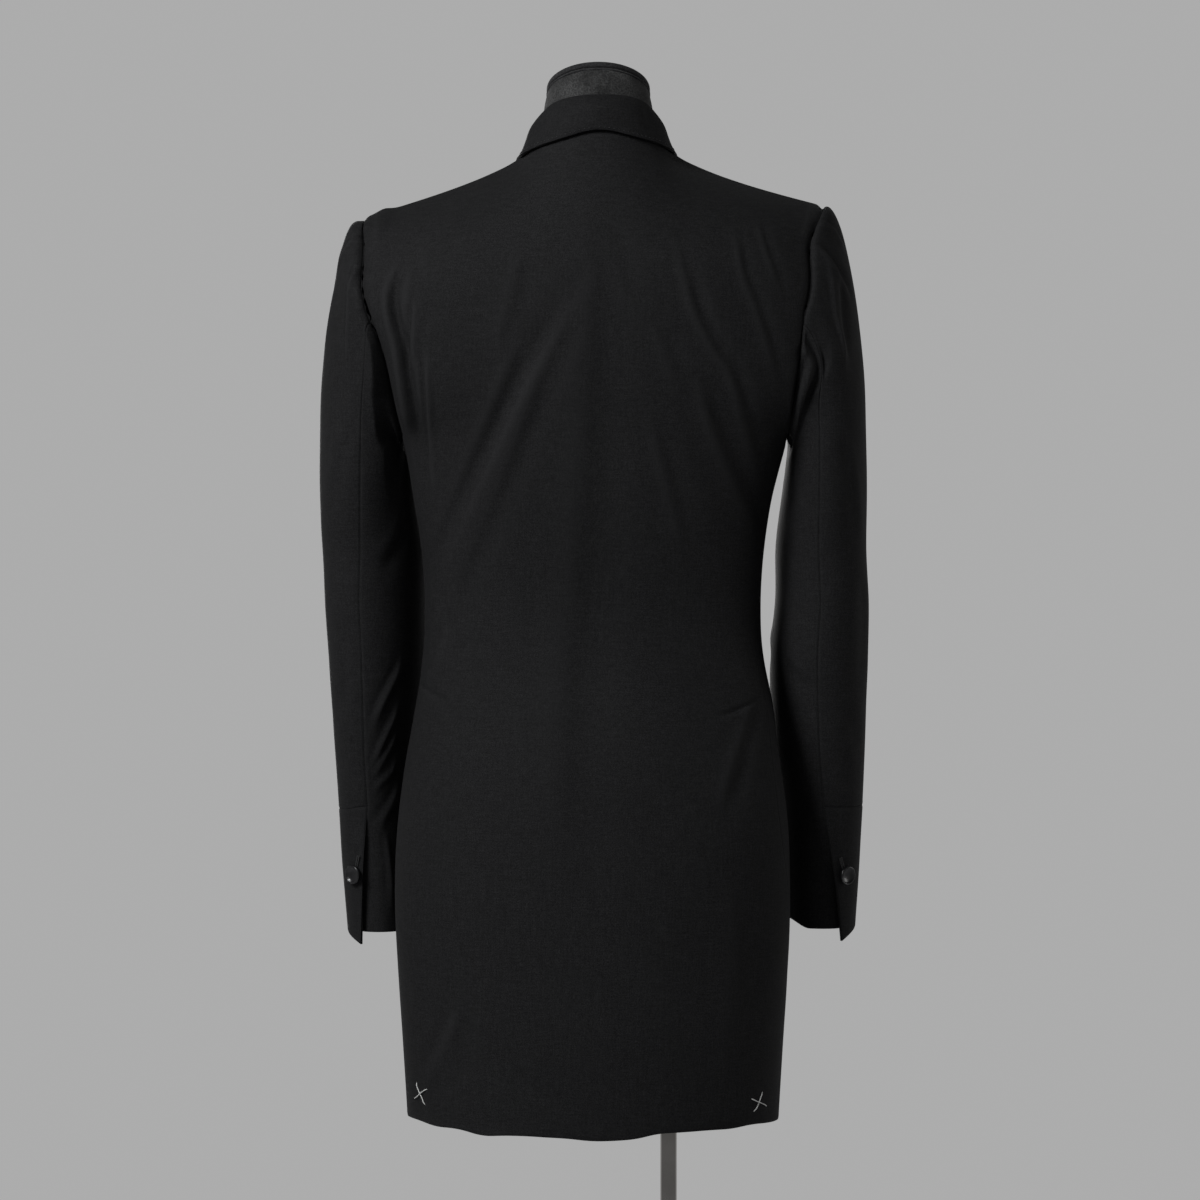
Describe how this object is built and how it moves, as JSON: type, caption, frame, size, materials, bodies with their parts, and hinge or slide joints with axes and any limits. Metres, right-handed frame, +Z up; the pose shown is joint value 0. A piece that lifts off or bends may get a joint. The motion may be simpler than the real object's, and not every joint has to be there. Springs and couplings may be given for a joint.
{
  "type": "long peak-lapel jacket on a dress form",
  "caption": "Long single-breasted tailored jacket with peak lapels, set-in sleeves and buttoned cuffs, worn by a limbless dress form that stands on a pole and a round base plate.",
  "frame": {"origin": "centre of the base plate's underside, on the floor", "axes": "+Z up, -Y the way the jacket's front faces, +X the wearer's left"},
  "size_m": [0.495, 0.38, 1.5039],
  "materials": {
    "wool_twill": "matt black fine wool twill with a faint sheen",
    "button_black": "polished black, domed",
    "form_cover": "charcoal cloth stretched smooth over the form",
    "form_trim": "dark cloth over the neck's cap",
    "chrome": "polished chrome tube",
    "plate_steel": "plain brushed steel plate"
  },
  "bodies": {
    "root": {"back": "wool_twill", "front_left": "wool_twill", "front_right": "wool_twill", "top_sleeve_left": "wool_twill", "top_sleeve_right": "wool_twill", "under_sleeve_left": "wool_twill", "under_sleeve_right": "wool_twill", "cuff_left": "wool_twill", "cuff_right": "wool_twill", "collar_stand": "wool_twill", "collar_leaf": "wool_twill", "lapel_left": "wool_twill", "lapel_right": "wool_twill", "cuff_button_left": "button_black", "cuff_button_right": "button_black", "front_button": "button_black", "form_torso": "form_cover", "form_neck": "form_cover", "form_cap": "form_trim", "pole_flange": "chrome", "pole": "chrome", "pole_socket": "chrome", "base_plate": "plate_steel"}
  },
  "joints": []
}
